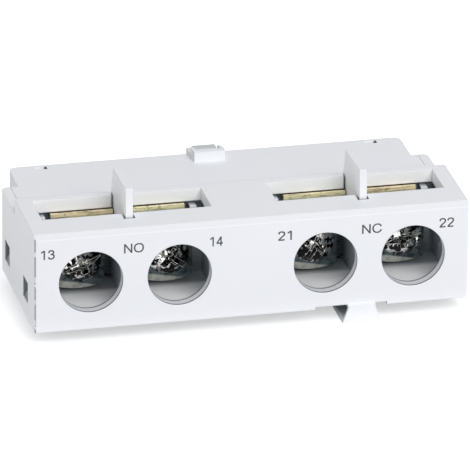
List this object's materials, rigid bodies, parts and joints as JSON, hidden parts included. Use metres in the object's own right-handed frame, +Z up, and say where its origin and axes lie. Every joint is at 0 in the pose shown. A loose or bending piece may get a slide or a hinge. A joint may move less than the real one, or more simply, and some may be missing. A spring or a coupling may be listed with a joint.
{
  "type": "auxiliary contact block",
  "caption": "Flat clip-on auxiliary contact block with screw terminals, wire entries in the top, an open and a closed contact on one sprung actuator, and a bottom hook.",
  "frame": {"origin": "on the plane of the rear seat, at mid length and at the height of the screw axes", "axes": "+X along the length to the right, +Y out of the rear seat to the back, +Z up"},
  "size_m": [0.045, 0.0237, 0.0152],
  "materials": {
    "cover": "satin moulded",
    "housing": "satin moulded",
    "slider": "satin moulded",
    "copper": "plain",
    "silver": "plain",
    "spring": "drawn wire",
    "screw": "zinc plated",
    "washer": "zinc plated",
    "brass": "stamped"
  },
  "bodies": {
    "housing": {"front_cover": "cover", "rear_housing": "housing", "return_spring": "spring", "terminal_plate_13": "brass", "fixed_contact_13": "silver", "terminal_plate_14": "brass", "fixed_contact_14": "silver", "terminal_plate_21": "brass", "fixed_contact_21": "silver", "terminal_plate_22": "brass", "fixed_contact_22": "silver"},
    "actuator": {"actuator_slider": "slider", "contact_bridge_open": "copper", "contact_bridge_closed": "copper", "moving_contacts_open": "silver", "moving_contacts_closed": "silver", "contact_spring_open": "spring", "contact_spring_closed": "spring"},
    "clamp_13": {"clamp_washer_13": "washer"},
    "screw_13": {"terminal_screw_13": "screw"},
    "clamp_14": {"clamp_washer_14": "washer"},
    "screw_14": {"terminal_screw_14": "screw"},
    "clamp_21": {"clamp_washer_21": "washer"},
    "screw_21": {"terminal_screw_21": "screw"},
    "clamp_22": {"clamp_washer_22": "washer"},
    "screw_22": {"terminal_screw_22": "screw"}
  },
  "joints": [
    {"name": "actuator_slide", "type": "slide", "parent": "housing", "child": "actuator", "axis": [0, -1, 0], "range_m": [0, 0.0014], "stiffness_N_per_m": 60, "springref_m": -0.01, "deforming": ["return_spring"]},
    {"name": "clamp_slide_13", "type": "slide", "parent": "housing", "child": "clamp_13", "axis": [0, 1, 0], "range_m": [0, 0.0015]},
    {"name": "screw_turn_13", "type": "hinge", "parent": "clamp_13", "child": "screw_13", "pos_m": [-0.01669, -0.0162, 0], "axis": [0, 1, 0], "range_deg": [0, 1080.01]},
    {"name": "clamp_slide_14", "type": "slide", "parent": "housing", "child": "clamp_14", "axis": [0, 1, 0], "range_m": [0, 0.0015]},
    {"name": "screw_turn_14", "type": "hinge", "parent": "clamp_14", "child": "screw_14", "pos_m": [-0.00756, -0.0162, 0], "axis": [0, 1, 0], "range_deg": [0, 1080.01]},
    {"name": "clamp_slide_21", "type": "slide", "parent": "housing", "child": "clamp_21", "axis": [0, 1, 0], "range_m": [0, 0.0015]},
    {"name": "screw_turn_21", "type": "hinge", "parent": "clamp_21", "child": "screw_21", "pos_m": [0.00756, -0.0162, 0], "axis": [0, 1, 0], "range_deg": [0, 1080.01]},
    {"name": "clamp_slide_22", "type": "slide", "parent": "housing", "child": "clamp_22", "axis": [0, 1, 0], "range_m": [0, 0.0015]},
    {"name": "screw_turn_22", "type": "hinge", "parent": "clamp_22", "child": "screw_22", "pos_m": [0.01669, -0.0162, 0], "axis": [0, 1, 0], "range_deg": [0, 1080.01]}
  ],
  "couplings": [
    {"joint": "screw_turn_13", "follows": "clamp_slide_13", "rad_per_m": 12566},
    {"joint": "screw_turn_14", "follows": "clamp_slide_14", "rad_per_m": 12566},
    {"joint": "screw_turn_21", "follows": "clamp_slide_21", "rad_per_m": 12566},
    {"joint": "screw_turn_22", "follows": "clamp_slide_22", "rad_per_m": 12566}
  ]
}
